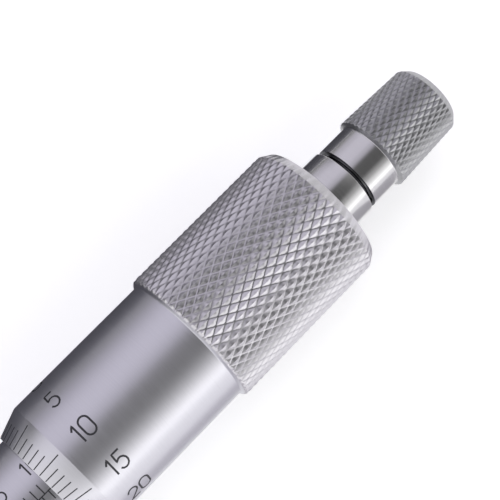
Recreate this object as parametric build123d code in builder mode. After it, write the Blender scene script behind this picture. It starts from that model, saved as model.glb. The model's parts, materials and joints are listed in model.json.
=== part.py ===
from build123d import *
import os
from math import asin, atan, cos, degrees, hypot, pi, sin, tan

# Caliper-type inside micrometer, in millimetres.
# The screw's axis is X, with the ratchet towards +X. The origin lies on that axis, in the middle of the
# fixed hub. The instrument lies on a table, on its knurled band and on the ends of its two jaws, so the
# jaws slope down towards -Y and the sleeve's scale looks up.

# Measuring range
smallest_size = 5.0
largest_size = 30.0
size_at_rest = 10.12
opened = size_at_rest - smallest_size
travel_left = largest_size - size_at_rest

# Clearances
running_clearance = 0.03
seat_clearance = 0.01
face_gap = 0.02
thimble_clearance = 0.3

# Fixed hub and jaws
hub_diameter = 18.0
hub_length = 16.0
hub_chamfer = 0.8
jaw_reach = 27.0
nib_length = 12.0
nib_width = 2.48
nib_thickness = 4.0
nib_edge = 0.3
blade_thickness = 5.0
blade_foot_width = 3.6
blade_root_width = 8.0
blade_shoulder = 8.5
blade_rounding = 1.5
jaw_face_relief = 0.3
movable_hub_diameter = 14.0
movable_hub_length = 10.0
jaw_pin_diameter = 2.5

# Guide and lock
rod_diameter = 7.0
rod_chamfer = 0.4
rod_bush_diameter = 10.0
screws_x = -3.5
keyway_width = 2.0
keyway_depth = 1.0
keyway_margin = 1.5
key_screw_diameter = 4.0
key_screw_sink = 0.5
key_clearance = 0.04
driver_slot_width = 0.6
driver_slot_depth = 0.8
lock_stem_diameter = 4.0
lock_head_diameter = 8.0
lock_head_height = 4.5
lock_collar_diameter = 5.4
lock_collar_height = 0.8
lock_head_flutes = 20
lock_flute_depth = 0.3
lock_shoe_thickness = 1.6
lock_shoe_gap = 0.2
lock_head_gap = 0.3

# Sleeves
inner_sleeve_diameter = 12.0
sleeve_bore_gap = 0.5
sleeve_wall = 1.0
sleeve_seat_depth = 8.0
scale_margin = 4.0
nut_diameter = 10.0
nut_length = 13.5
nut_stickout = 10.25
nut_slot_width = 0.8
nut_slot_length = 9.0
nut_slots = 3
adjusting_nut_wall = 1.4
adjusting_nut_length = 6.0
adjusting_nut_setback = 1.0
spanner_slot_width = 1.2
spanner_slot_depth = 1.0
spanner_slots = 4

# Thimble
bevel_length = 3.5
bevel_lip = 0.15
barrel_diameter = 17.5
knurl_diameter = 18.9
knurl_length = 22.75
knurl_front_chamfer = 0.25
knurl_rear_chamfer = 1.2
thimble_rear_diameter = 17.4
thimble_wall = 6.0
thimble_end_gap = 1.0

# Screw and its coupling to the rod
screw_diameter = 7.0
cone_diameter = 8.4
cone_rear_diameter = 7.2
cone_setback = 0.3
journal_diameter = 4.9
socket_depth = 9.0
ball_diameter = 2.4
coupling_pin_diameter = 1.4
coupling_pin_length = 3.0
coupling_pin_setback = 3.0
rod_end_gap = 0.3

# Ratchet stop
base_diameter = 9.55
base_length = 4.5
base_chamfer = 0.25
base_stub_diameter = 3.0
base_stub_length = 7.0
groove_width = 0.5
stud_diameter = 4.0
tooth_boss_diameter = 7.2
tooth_boss_length = 1.0
tooth_count = 24
tooth_height = 0.4
tooth_stud_gap = 0.2
tooth_rim = 0.05
disc_thickness = 2.2
disc_bore_gap = 0.1
disc_lug_height = 0.4
disc_lug_width = 1.4
disc_lug_length = 1.8
disc_lift = 0.5
neck_diameter = 9.2
neck_length = 4.13
knob_front_diameter = 10.45
knob_rear_diameter = 9.7
knob_end_diameter = 8.1
knob_length = 10.94
knob_front_chamfer = 0.36
knob_rear_chamfer = 0.9
knob_bore_gap = 0.1
knob_bore_depth = 7.5
knob_recess_gap = 0.2
knob_recess_depth = 3.05
spring_wire = 0.6
spring_turns = 3.5
spring_bends = 12
end_screw_diameter = 2.0
end_screw_length = 5.5
end_screw_head_diameter = 3.8
end_screw_head_height = 1.3
end_washer_diameter = 6.0
end_washer_thickness = 0.5

# Radii that several pieces share
hub_radius = hub_diameter / 2
movable_hub_radius = movable_hub_diameter / 2
rod_radius = rod_diameter / 2
journal_radius = journal_diameter / 2
knurl_radius = knurl_diameter / 2
barrel_radius = barrel_diameter / 2
inner_sleeve_radius = inner_sleeve_diameter / 2
inner_sleeve_bore_radius = max(rod_diameter, screw_diameter) / 2 + sleeve_bore_gap
sleeve_radius = inner_sleeve_radius + sleeve_wall
nut_radius = nut_diameter / 2
adjusting_nut_radius = nut_radius + adjusting_nut_wall
thimble_bore_radius = sleeve_radius + thimble_clearance
cone_radius = cone_diameter / 2
cone_rear_radius = cone_rear_diameter / 2
stud_radius = stud_diameter / 2
tooth_boss_radius = tooth_boss_diameter / 2
knob_bore_radius = tooth_boss_radius + knob_bore_gap
knob_recess_radius = end_washer_diameter / 2 + knob_recess_gap
disc_lug_reach = knob_bore_radius + disc_lug_height
spring_radius = (stud_radius + knob_bore_radius) / 2
key_screw_radius = key_screw_diameter / 2
lock_stem_radius = lock_stem_diameter / 2

# Places along the axis, from the jaws to the ratchet
contact_x = -hub_length / 2
hub_rear_x = hub_length / 2
closed_gap = smallest_size - 2 * nib_width
movable_contact_x = contact_x - closed_gap - opened
movable_front_x = movable_contact_x - movable_hub_length
bush_rear_x = hub_rear_x - sleeve_seat_depth
scale_end_x = hub_rear_x + scale_margin
tip_x = scale_end_x + travel_left
barrel_x = tip_x + bevel_length
graduated_sleeve_end_x = scale_end_x + largest_size - smallest_size + scale_margin
sleeve_end_x = graduated_sleeve_end_x + nut_stickout
wall_x = sleeve_end_x + travel_left + thimble_end_gap
thimble_rear_x = wall_x + thimble_wall
knurl_x = thimble_rear_x - knurl_length
nut_x = sleeve_end_x - nut_length
thread_x = nut_x - opened
rod_end_x = thread_x - rod_end_gap
socket_x = rod_end_x - socket_depth
journal_end_x = socket_x + ball_diameter + face_gap
coupling_x = rod_end_x - coupling_pin_setback
base_rear_x = thimble_rear_x + base_length
tooth_root_x = base_rear_x + tooth_boss_length
knob_x = base_rear_x + groove_width
disc_front_x = tooth_root_x + face_gap
disc_rear_x = disc_front_x + tooth_height + disc_thickness
spring_seat_x = knob_x + knob_bore_depth
neck_end_x = knob_x + neck_length
knob_end_x = neck_end_x + knob_length
recess_x = knob_end_x - knob_recess_depth
stud_end_x = recess_x + 2 * face_gap
head_x = stud_end_x + end_washer_thickness

# The part is rolled about its axis until the jaws' ends touch the table, as the knurled band does.
jaw_contact = jaw_reach - nib_edge
roll = degrees(
    asin(knurl_radius / hypot(jaw_contact, nib_thickness / 2)) - atan(nib_thickness / 2 / jaw_contact)
)
jaw_plane = Plane.XY.rotated((roll, 0, 0))
away_from_jaws = jaw_plane.y_dir
scale_side = jaw_plane.z_dir
key_side = -scale_side

os.makedirs("parts", exist_ok=True)


def radial_plane(x, direction, height):
    """Plane that looks outwards from the axis at x, at a height above the axis."""
    return Plane(origin=(x, 0, 0), x_dir=(1, 0, 0), z_dir=direction).offset(height)


def jaw_blade(flat_x, side):
    """Blade and half-round nib of a jaw. side is 1 if the measuring face looks along +X, or -1."""
    foot_y = nib_length - jaw_reach
    half = nib_thickness / 2
    crown_x = flat_x + side * (nib_width - half)
    with BuildPart() as jaw:
        with BuildSketch(jaw_plane) as outline:
            with BuildLine():
                Polyline(
                    (flat_x, 0),
                    (flat_x, foot_y),
                    (flat_x + side * blade_foot_width, foot_y),
                    (flat_x + side * blade_root_width, -blade_shoulder),
                    (flat_x + side * blade_root_width, 0),
                    close=True,
                )
            make_face()
            outer = outline.vertices().filter_by_position(Axis.Y, foot_y - 1, -1)
            outer = outer.sort_by(Axis.X)[1:] if side > 0 else outer.sort_by(Axis.X)[:-1]
            fillet(outer, blade_rounding)
        extrude(amount=blade_thickness / 2, both=True)
        with BuildSketch(radial_plane(0, away_from_jaws, -jaw_reach)):
            with BuildLine():
                Polyline((crown_x, half), (flat_x, half), (flat_x, -half), (crown_x, -half))
                ThreePointArc((crown_x, -half), (flat_x + side * nib_width, 0), (crown_x, half))
            make_face()
        extrude(amount=nib_length + blade_foot_width)
        end_face = jaw.faces().sort_by(Axis((0, 0, 0), away_from_jaws))[0]
        chamfer(end_face.edges(), nib_edge)
    return jaw.part


def ratchet_teeth(root_x, inner_radius, outer_radius):
    """Saw teeth that stand in a ring on the plane at root_x. A disc that is turned to tighten climbs their
    ramps and slips over; one that is turned to loosen meets their steep sides."""
    half_angle = pi / tooth_count
    with BuildPart() as tooth:
        for radius in (inner_radius, outer_radius):
            half_width = radius * tan(half_angle)
            with BuildSketch(Plane(origin=(root_x, 0, radius), x_dir=(0, 1, 0), z_dir=(0, 0, 1))):
                with BuildLine():
                    Polyline(
                        (-half_width, 0),
                        (half_width, 0),
                        (half_width, -tooth_height),
                        close=True,
                    )
                make_face()
        loft(ruled=True)
    return [tooth.part.rotate(Axis.X, 360 * i / tooth_count) for i in range(tooth_count)]


# Fixed jaw: the hub that everything is built on, in one piece with its blade and nib
with BuildPart() as fixed_jaw:
    with BuildSketch(Plane.YZ.offset(contact_x + jaw_face_relief)):
        Circle(hub_radius)
    extrude(amount=hub_length - jaw_face_relief)
    hub_rims = fixed_jaw.edges().filter_by(GeomType.CIRCLE)
    chamfer(hub_rims, hub_chamfer)
    add(jaw_blade(contact_x, 1))
    with Locations(Plane.YZ.offset(hub_rear_x)):
        CounterBoreHole(
            radius=rod_bush_diameter / 2 + seat_clearance,
            counter_bore_radius=inner_sleeve_radius + seat_clearance,
            counter_bore_depth=sleeve_seat_depth,
        )
    with Locations(radial_plane(screws_x, away_from_jaws, hub_radius)):
        Hole(radius=lock_stem_radius + running_clearance, depth=hub_radius)
    with Locations(radial_plane(screws_x, key_side, hub_radius)):
        Hole(radius=key_screw_radius + seat_clearance, depth=hub_radius)
fixed_jaw.part.label = "fixed_jaw"
export_step(fixed_jaw.part, "parts/fixed_jaw.step")

# Bronze guide bush, with holes for the lock shoe and the key screw
with BuildPart() as rod_bush:
    with BuildSketch(Plane.YZ.offset(contact_x + jaw_face_relief)):
        Circle(rod_bush_diameter / 2)
        Circle(rod_radius + running_clearance, mode=Mode.SUBTRACT)
    extrude(amount=bush_rear_x - contact_x - jaw_face_relief)
    with Locations(radial_plane(screws_x, away_from_jaws, hub_radius)):
        Hole(radius=lock_stem_radius + running_clearance, depth=hub_radius)
    with Locations(radial_plane(screws_x, key_side, hub_radius)):
        Hole(radius=key_screw_radius + seat_clearance, depth=hub_radius)
rod_bush.part.label = "rod_bush"
export_step(rod_bush.part, "parts/rod_bush.step")

# Key screw: a slotted grub screw whose dog point runs in the rod's keyway
key_screw_inner = rod_radius + 2 * running_clearance + keyway_depth / 4
key_screw_outer = hub_radius - key_screw_sink
with BuildPart() as key_screw:
    with BuildSketch(radial_plane(screws_x, key_side, key_screw_inner)):
        Circle(key_screw_radius)
    extrude(amount=key_screw_outer - key_screw_inner)
    dog_height = rod_radius - keyway_depth + 2 * key_clearance
    with BuildSketch(radial_plane(screws_x, key_side, dog_height)):
        Circle(keyway_width / 2 - key_clearance)
    extrude(amount=key_screw_inner - dog_height)
    with BuildSketch(radial_plane(screws_x, key_side, key_screw_outer)):
        Rectangle(key_screw_diameter, driver_slot_width)
    extrude(amount=-driver_slot_depth, mode=Mode.SUBTRACT)
key_screw.part.label = "key_screw"
export_step(key_screw.part, "parts/key_screw.step")

# Inner sleeve, pressed into the hub, with the split nut at its rear end
with BuildPart() as inner_sleeve:
    with BuildSketch(Plane.XY):
        with BuildLine():
            Polyline(
                (bush_rear_x, inner_sleeve_bore_radius),
                (bush_rear_x, inner_sleeve_radius),
                (graduated_sleeve_end_x, inner_sleeve_radius),
                (graduated_sleeve_end_x, nut_radius),
                (sleeve_end_x, nut_radius),
                (sleeve_end_x, screw_diameter / 2 + running_clearance),
                (nut_x, screw_diameter / 2 + running_clearance),
                (nut_x, inner_sleeve_bore_radius),
                close=True,
            )
        make_face()
    revolve(axis=Axis.X)
    with BuildSketch(Plane.YZ.offset(sleeve_end_x)):
        with PolarLocations(nut_radius, nut_slots):
            Rectangle(nut_radius, nut_slot_width)
    extrude(amount=-nut_slot_length, mode=Mode.SUBTRACT)
inner_sleeve.part.label = "inner_sleeve"
export_step(inner_sleeve.part, "parts/inner_sleeve.step")

# Graduated sleeve, a tube that is turned on the inner sleeve to set the zero
with BuildPart() as graduated_sleeve:
    with BuildSketch(Plane.YZ.offset(hub_rear_x)):
        Circle(sleeve_radius)
        Circle(inner_sleeve_radius + seat_clearance, mode=Mode.SUBTRACT)
    extrude(amount=graduated_sleeve_end_x - hub_rear_x)
graduated_sleeve.part.label = "graduated_sleeve"
export_step(graduated_sleeve.part, "parts/graduated_sleeve.step")

# Adjusting nut, a ring with spanner slots that closes the split nut
with BuildPart() as adjusting_nut:
    with BuildSketch(Plane.YZ.offset(sleeve_end_x - adjusting_nut_setback)):
        Circle(adjusting_nut_radius)
        Circle(nut_radius + seat_clearance, mode=Mode.SUBTRACT)
    extrude(amount=-adjusting_nut_length)
    with BuildSketch(Plane.YZ.offset(sleeve_end_x - adjusting_nut_setback)):
        with PolarLocations(adjusting_nut_radius, spanner_slots):
            Rectangle(2 * spanner_slot_depth, spanner_slot_width)
    extrude(amount=-spanner_slot_depth, mode=Mode.SUBTRACT)
adjusting_nut.part.label = "adjusting_nut"
export_step(adjusting_nut.part, "parts/adjusting_nut.step")

# Lock shoe, the brass pad that is pressed on the rod
shoe_inner = rod_radius + lock_shoe_gap
shoe_outer = shoe_inner + lock_shoe_thickness
with BuildPart() as lock_shoe:
    with BuildSketch(radial_plane(screws_x, away_from_jaws, shoe_inner)):
        Circle(lock_stem_radius)
    extrude(amount=lock_shoe_thickness)
lock_shoe.part.label = "lock_shoe"
export_step(lock_shoe.part, "parts/lock_shoe.step")

# Lock screw, with a fluted head
collar_height = hub_radius + lock_head_gap
head_height = collar_height + lock_collar_height
with BuildPart() as lock_screw:
    with BuildSketch(radial_plane(screws_x, away_from_jaws, shoe_outer + face_gap)):
        Circle(lock_stem_radius)
    extrude(amount=collar_height - shoe_outer)
    with BuildSketch(radial_plane(screws_x, away_from_jaws, collar_height)):
        Circle(lock_collar_diameter / 2)
    extrude(amount=lock_collar_height)
    with BuildSketch(radial_plane(screws_x, away_from_jaws, head_height)):
        Circle(lock_head_diameter / 2)
    extrude(amount=lock_head_height)
    head_rims = lock_screw.edges().filter_by(GeomType.CIRCLE).sort_by(Axis((0, 0, 0), away_from_jaws))
    chamfer([head_rims[-1], head_rims[-2]], lock_flute_depth)
    with BuildSketch(radial_plane(screws_x, away_from_jaws, head_height)):
        with PolarLocations(lock_head_diameter / 2, lock_head_flutes):
            RegularPolygon(lock_flute_depth, 4)
    extrude(amount=lock_head_height, mode=Mode.SUBTRACT)
lock_screw.part.label = "lock_screw"
export_step(lock_screw.part, "parts/lock_screw.step")

# Slide rod, with its keyway, the jaw pin's hole and the socket for the screw's journal
pin_x = movable_contact_x - movable_hub_length / 2
keyway_start = screws_x - opened - keyway_margin
keyway_end = screws_x + travel_left + keyway_margin
with BuildPart() as slide_rod:
    with BuildSketch(Plane.YZ.offset(movable_front_x)):
        Circle(rod_radius)
    extrude(amount=rod_end_x - movable_front_x)
    chamfer(slide_rod.edges().sort_by(Axis.X)[0], rod_chamfer)
    with BuildSketch(radial_plane((keyway_start + keyway_end) / 2, key_side, rod_radius)):
        SlotCenterToCenter(keyway_end - keyway_start - keyway_width, keyway_width)
    extrude(amount=-keyway_depth, mode=Mode.SUBTRACT)
    with Locations(Plane.YZ.offset(rod_end_x)):
        Hole(radius=journal_radius + running_clearance, depth=socket_depth)
    with Locations(radial_plane(pin_x, scale_side, rod_radius)):
        Hole(radius=jaw_pin_diameter / 2 + seat_clearance, depth=rod_diameter)
    with BuildSketch(jaw_plane.offset(-rod_radius)):
        with Locations((coupling_x, journal_radius), (coupling_x, -journal_radius)):
            Circle(coupling_pin_diameter / 2 + seat_clearance)
    extrude(amount=rod_diameter, mode=Mode.SUBTRACT)
slide_rod.part.label = "slide_rod"
export_step(slide_rod.part, "parts/slide_rod.step")

# Movable jaw, a boss on the rod's front end with its blade and nib
with BuildPart() as movable_jaw:
    with BuildSketch(Plane.YZ.offset(movable_front_x)):
        Circle(movable_hub_radius)
    extrude(amount=movable_hub_length - jaw_face_relief)
    boss_rims = movable_jaw.edges().filter_by(GeomType.CIRCLE)
    chamfer(boss_rims, hub_chamfer)
    add(jaw_blade(movable_contact_x, -1))
    with Locations(Plane.YZ.offset(movable_contact_x)):
        Hole(radius=rod_radius + seat_clearance)
    with Locations(radial_plane(pin_x, scale_side, movable_hub_radius)):
        Hole(radius=jaw_pin_diameter / 2 + seat_clearance, depth=movable_hub_diameter)
movable_jaw.part.label = "movable_jaw"
export_step(movable_jaw.part, "parts/movable_jaw.step")

# Jaw pin, across the boss and the rod
with BuildPart() as jaw_pin:
    with BuildSketch(radial_plane(pin_x, scale_side, 0)):
        Circle(jaw_pin_diameter / 2)
    extrude(amount=movable_hub_radius - hub_chamfer / 2, both=True)
jaw_pin.part.label = "jaw_pin"
export_step(jaw_pin.part, "parts/jaw_pin.step")

# Thrust ball, between the socket's floor and the screw's journal
with BuildPart() as thrust_ball:
    with Locations((socket_x + face_gap / 2 + ball_diameter / 2, 0, 0)):
        Sphere(ball_diameter / 2)
thrust_ball.part.label = "thrust_ball"
export_step(thrust_ball.part, "parts/thrust_ball.step")

# Coupling pins, which run in the journal's groove on both sides and draw the rod back
with BuildPart() as coupling_pins:
    with BuildSketch(jaw_plane):
        with Locations((coupling_x, journal_radius), (coupling_x, -journal_radius)):
            Circle(coupling_pin_diameter / 2)
    extrude(amount=coupling_pin_length / 2, both=True)
coupling_pins.part.label = "coupling_pins"
export_step(coupling_pins.part, "parts/coupling_pins.step")

# Micrometer screw: journal with its groove, threaded length, and cone for the thimble
groove_half = coupling_pin_diameter / 2 + key_clearance
groove_radius = journal_radius - coupling_pin_diameter / 2 - key_clearance
with BuildPart() as micrometer_screw:
    with BuildSketch(Plane.XY):
        with BuildLine():
            Polyline(
                (journal_end_x, 0),
                (journal_end_x, journal_radius),
                (coupling_x - groove_half, journal_radius),
                (coupling_x - groove_half, groove_radius),
                (coupling_x + groove_half, groove_radius),
                (coupling_x + groove_half, journal_radius),
                (thread_x, journal_radius),
                (thread_x, screw_diameter / 2),
                (wall_x, screw_diameter / 2),
                (wall_x, cone_radius),
                (thimble_rear_x - cone_setback, cone_rear_radius),
                (thimble_rear_x - cone_setback, 0),
                close=True,
            )
        make_face()
    revolve(axis=Axis.X)
    with Locations(Plane.YZ.offset(thimble_rear_x - cone_setback)):
        Hole(radius=base_stub_diameter / 2 + seat_clearance, depth=base_stub_length)
micrometer_screw.part.label = "micrometer_screw"
export_step(micrometer_screw.part, "parts/micrometer_screw.step")

# Thimble: bevel, smooth barrel and knurled band around one bore, with a cone seat in its rear wall
cone_rate = (cone_radius - cone_rear_radius) / (thimble_wall - cone_setback)
cone_end_radius = cone_radius - cone_rate * thimble_wall
with BuildPart() as thimble:
    with BuildSketch(Plane.XY):
        with BuildLine():
            Polyline(
                (tip_x, thimble_bore_radius),
                (tip_x, thimble_bore_radius + bevel_lip),
                (barrel_x, barrel_radius),
                (knurl_x - knurl_front_chamfer, barrel_radius),
                (knurl_x, knurl_radius),
                (thimble_rear_x - knurl_rear_chamfer, knurl_radius),
                (thimble_rear_x, thimble_rear_diameter / 2),
                (thimble_rear_x, cone_end_radius + seat_clearance),
                (wall_x, cone_radius + seat_clearance),
                (wall_x, thimble_bore_radius),
                close=True,
            )
        make_face()
    revolve(axis=Axis.X)
thimble.part.label = "thimble"
export_step(thimble.part, "parts/thimble.step")

# Ratchet base: the flange that holds the thimble on its cone, the toothed boss and the knob's stud
with BuildPart() as ratchet_base:
    with BuildSketch(Plane.XY):
        with BuildLine():
            Polyline(
                (thimble_rear_x - base_stub_length, 0),
                (thimble_rear_x - base_stub_length, base_stub_diameter / 2),
                (thimble_rear_x, base_stub_diameter / 2),
                (thimble_rear_x, base_diameter / 2),
                (base_rear_x - base_chamfer, base_diameter / 2),
                (base_rear_x, base_diameter / 2 - base_chamfer),
                (base_rear_x, tooth_boss_radius),
                (tooth_root_x, tooth_boss_radius),
                (tooth_root_x, stud_radius),
                (stud_end_x, stud_radius),
                (stud_end_x, 0),
                close=True,
            )
        make_face()
    revolve(axis=Axis.X)
    add(ratchet_teeth(tooth_root_x, stud_radius + tooth_stud_gap, tooth_boss_radius - tooth_rim))
    with Locations(Plane.YZ.offset(stud_end_x)):
        Hole(radius=end_screw_diameter / 2 + seat_clearance, depth=end_screw_length)
ratchet_base.part.label = "ratchet_base"
export_step(ratchet_base.part, "parts/ratchet_base.step")

# Ratchet disc: its teeth seat in the base's teeth, and its two lugs run in the knob's slots
with BuildPart() as ratchet_disc:
    with BuildSketch(Plane.YZ.offset(disc_front_x)):
        Circle(tooth_boss_radius - running_clearance)
        Circle(stud_radius + disc_bore_gap, mode=Mode.SUBTRACT)
    extrude(amount=disc_rear_x - disc_front_x)
    add(ratchet_teeth(disc_front_x, stud_radius, tooth_boss_radius), mode=Mode.SUBTRACT)
    with BuildSketch(Plane.YZ.offset(disc_rear_x)):
        with PolarLocations((disc_lug_reach + stud_radius) / 2 + running_clearance, 2):
            Rectangle(disc_lug_reach - stud_radius - 4 * running_clearance, disc_lug_width)
    extrude(amount=-disc_lug_length)
ratchet_disc.part.label = "ratchet_disc"
export_step(ratchet_disc.part, "parts/ratchet_disc.step")

# Ratchet knob: smooth neck and grip in one piece, slotted inside for the disc's lugs
slot_end_x = disc_rear_x + disc_lift + face_gap
with BuildPart() as ratchet_knob:
    with BuildSketch(Plane.XY):
        with BuildLine():
            Polyline(
                (knob_x, knob_bore_radius),
                (knob_x, neck_diameter / 2),
                (neck_end_x, neck_diameter / 2),
                (neck_end_x + knob_front_chamfer, knob_front_diameter / 2),
                (knob_end_x - knob_rear_chamfer, knob_rear_diameter / 2),
                (knob_end_x, knob_end_diameter / 2),
                (knob_end_x, knob_recess_radius),
                (recess_x, knob_recess_radius),
                (recess_x, stud_radius + running_clearance),
                (spring_seat_x, stud_radius + running_clearance),
                (spring_seat_x, knob_bore_radius),
                close=True,
            )
        make_face()
    revolve(axis=Axis.X)
    with BuildSketch(Plane.YZ.offset(knob_x)):
        Rectangle(
            2 * (disc_lug_reach + 2 * running_clearance),
            disc_lug_width + 2 * key_clearance,
        )
    extrude(amount=slot_end_x - knob_x, mode=Mode.SUBTRACT)
ratchet_knob.part.label = "ratchet_knob"
export_step(ratchet_knob.part, "parts/ratchet_knob.step")

# Ratchet spring, coiled from wire drawn with flats, between the disc and the bottom of the knob's bore
spring_start_x = disc_rear_x + spring_wire / 2 + face_gap
spring_height = spring_seat_x - disc_rear_x - spring_wire - 2 * face_gap
spring_steps = round(spring_turns * spring_bends)
spring_points = []
for step in range(spring_steps + 1):
    coil_angle = 2 * pi * step / spring_bends
    coil_x = spring_start_x + spring_height * step / spring_steps
    spring_points.append((coil_x, spring_radius * cos(coil_angle), spring_radius * sin(coil_angle)))
with BuildPart() as ratchet_spring:
    with BuildLine() as coil:
        Polyline(spring_points)
    with BuildSketch(Plane(origin=coil.line @ 0, z_dir=coil.line % 0)):
        RegularPolygon(spring_wire / 2, 6)
    sweep(path=coil.line, transition=Transition.RIGHT)
ratchet_spring.part.label = "ratchet_spring"
export_step(ratchet_spring.part, "parts/ratchet_spring.step")

# End washer and end screw, which keep the knob on its stud
with BuildPart() as end_washer:
    with BuildSketch(Plane.YZ.offset(stud_end_x)):
        Circle(end_washer_diameter / 2)
        Circle(end_screw_diameter / 2 + seat_clearance, mode=Mode.SUBTRACT)
    extrude(amount=end_washer_thickness)
end_washer.part.label = "end_washer"
export_step(end_washer.part, "parts/end_washer.step")

with BuildPart() as end_screw:
    with BuildSketch(Plane.YZ.offset(head_x)):
        Circle(end_screw_head_diameter / 2)
    extrude(amount=end_screw_head_height)
    with BuildSketch(Plane.YZ.offset(head_x)):
        Circle(end_screw_diameter / 2)
    extrude(amount=-end_screw_length)
    with BuildSketch(Plane.YZ.offset(head_x + end_screw_head_height)):
        Rectangle(end_screw_head_diameter, driver_slot_width)
    extrude(amount=-driver_slot_depth, mode=Mode.SUBTRACT)
end_screw.part.label = "end_screw"
export_step(end_screw.part, "parts/end_screw.step")

print(f"roll {roll:.3f} deg, thimble tip {tip_x:.3f}, knurl {knurl_x:.3f}, knob end {knob_end_x:.3f}")
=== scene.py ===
"""Looks of an inside micrometer of the caliper type: finishes, knurls, scales and a plain studio.

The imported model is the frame. The thimble and the ratchet knob are turned again here, with their knurls
cut in, the scales and numbers are laid on the sleeve and the thimble, and the other pieces get their
finishes, with the sharp edges eased as a fitter eases them.
"""

import json
from math import atan2, cos, pi, radians, sin, tan

import bmesh
import bpy
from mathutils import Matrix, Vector


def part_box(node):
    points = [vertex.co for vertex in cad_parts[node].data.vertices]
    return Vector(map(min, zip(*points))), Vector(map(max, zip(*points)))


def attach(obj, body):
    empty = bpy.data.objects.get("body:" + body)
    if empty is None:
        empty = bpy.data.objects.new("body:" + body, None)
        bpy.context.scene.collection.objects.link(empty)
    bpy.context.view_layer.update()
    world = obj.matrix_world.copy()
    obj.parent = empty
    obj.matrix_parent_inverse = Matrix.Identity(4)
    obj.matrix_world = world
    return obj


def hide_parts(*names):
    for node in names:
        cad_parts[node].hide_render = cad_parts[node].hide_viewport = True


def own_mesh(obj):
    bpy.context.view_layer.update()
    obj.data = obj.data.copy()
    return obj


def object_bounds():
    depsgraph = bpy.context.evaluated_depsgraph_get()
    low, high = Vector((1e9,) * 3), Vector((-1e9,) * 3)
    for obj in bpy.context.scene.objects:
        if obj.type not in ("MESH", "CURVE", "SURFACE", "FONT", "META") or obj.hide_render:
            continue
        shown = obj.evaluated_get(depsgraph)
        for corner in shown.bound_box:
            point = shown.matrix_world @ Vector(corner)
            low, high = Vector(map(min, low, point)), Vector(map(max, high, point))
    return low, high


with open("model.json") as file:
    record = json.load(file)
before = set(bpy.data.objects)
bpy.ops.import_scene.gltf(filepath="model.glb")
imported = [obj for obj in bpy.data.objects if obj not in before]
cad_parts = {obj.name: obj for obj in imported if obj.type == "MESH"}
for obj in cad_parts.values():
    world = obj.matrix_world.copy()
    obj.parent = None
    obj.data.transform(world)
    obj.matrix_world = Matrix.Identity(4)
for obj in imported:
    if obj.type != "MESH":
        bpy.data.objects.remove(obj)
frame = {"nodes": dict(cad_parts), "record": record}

bl_info = {
    "name": "Inside micrometer",
    "version": (1, 0, 0),
    "blender": (4, 5, 0),
    "location": "View3D > Sidebar > Micrometer",
    "description": "Dresses the packed inside micrometer and sets up its studio",
    "category": "Object",
}

MM = 0.001
CAD_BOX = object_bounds()
FLOOR_Z = CAD_BOX[0][2]
THIMBLE_LOW, THIMBLE_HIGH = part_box("thimble")

# The jaws slope down to the table. The lock shoe lies on their line, so its place gives the roll.
SHOE_MIDDLE = sum(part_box("lock_shoe"), Vector()) / 2
ROLL = atan2(SHOE_MIDDLE.z, SHOE_MIDDLE.y)

# Mesh steps along and around one diamond of a knurl
DIAMOND_STEPS = 8
# A change of finish lies this far from its corner's place along the axis
PAINT_EDGE = 0.05 * MM
# Vertices nearer than this are one, in a turned piece and in a CAD node's mesh
MERGE_DISTANCE, CAD_MERGE_DISTANCE = 1e-7, 1e-6
# Edges sharper than the first are eased, and CAD facets flatter than the second are merged
SHARP_ANGLE, FLAT_ANGLE = radians(32), radians(0.6)
# A noise texture's values lie mostly between these
NOISE_LOW, NOISE_HIGH = 0.3, 0.7
# Roughness of the studio's paper and card
MATT = 0.9
# Inputs of both geometry node trees: two places along the axis, and the surface's radii there
ENDS = ("Front place", "Rear place", "Front radius", "Rear radius")


def linear(hex_value):
    """sRGB hex value as linear red, green, blue and alpha."""
    parts = [int(hex_value[i:i + 2], 16) / 255 for i in (1, 3, 5)]
    return [c / 12.92 if c <= 0.04045 else ((c + 0.055) / 1.055) ** 2.4 for c in parts] + [1.0]


def length(name, description, default_mm):
    """A size, given in millimetres and kept as a Blender length."""
    return bpy.props.FloatProperty(
        name=name, description=description, default=default_mm * MM, unit="LENGTH", precision=5
    )


def count(name, description, default):
    """A whole number of like things."""
    return bpy.props.IntProperty(name=name, description=description, default=default, min=1)


def share(name, description, default):
    """A part of a whole, from 0 to 1."""
    return bpy.props.FloatProperty(
        name=name, description=description, default=default, min=0.0, max=1.0, subtype="FACTOR"
    )


def colour(name, description, hex_value):
    """A finish's colour, given as an sRGB hex value and kept as a Blender colour."""
    return bpy.props.FloatVectorProperty(
        name=name, description=description, default=linear(hex_value), size=4, subtype="COLOR",
        min=0.0, max=1.0,
    )


class ThimbleSettings(bpy.types.PropertyGroup):
    """Sizes of the thimble, in the frame's own axes."""

    bevel_length: length("Bevel length", "Axial length of the bevel that carries the lines", 3.5)
    bevel_lip: length("Bevel lip", "Wall left at the bevel's thin edge", 0.15)
    barrel_radius: length("Barrel radius", "Radius of the smooth barrel", 8.75)
    bore_radius: length("Bore radius", "Radius of the bore that runs over the sleeve", 7.3)
    knurl_length: length("Knurl length", "Axial length of the knurled band with its chamfers", 22.75)
    front_chamfer: length("Front chamfer", "Axial length of the shoulder in front of the band", 0.25)
    front_edge: length("Front edge", "Chamfer that breaks the band's front edge", 0.3)
    rear_chamfer: length("Rear chamfer", "Axial length of the chamfer behind the band", 1.2)
    rear_radius: length("Rear radius", "Outer radius of the rear face", 8.7)
    eased: length("Eased corners", "Rounding of the turned corners", 0.16)
    starts: count("Knurl starts", "Grooves each way around the band", 50)
    axial_pitch: length("Knurl axial pitch", "Distance along the axis between like grooves", 1.969)
    knurl_depth: length("Knurl depth", "Depth of the crossing grooves", 0.235)
    land: share("Knurl land", "Share of a diamond that stays flat on top", 0.2)


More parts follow.
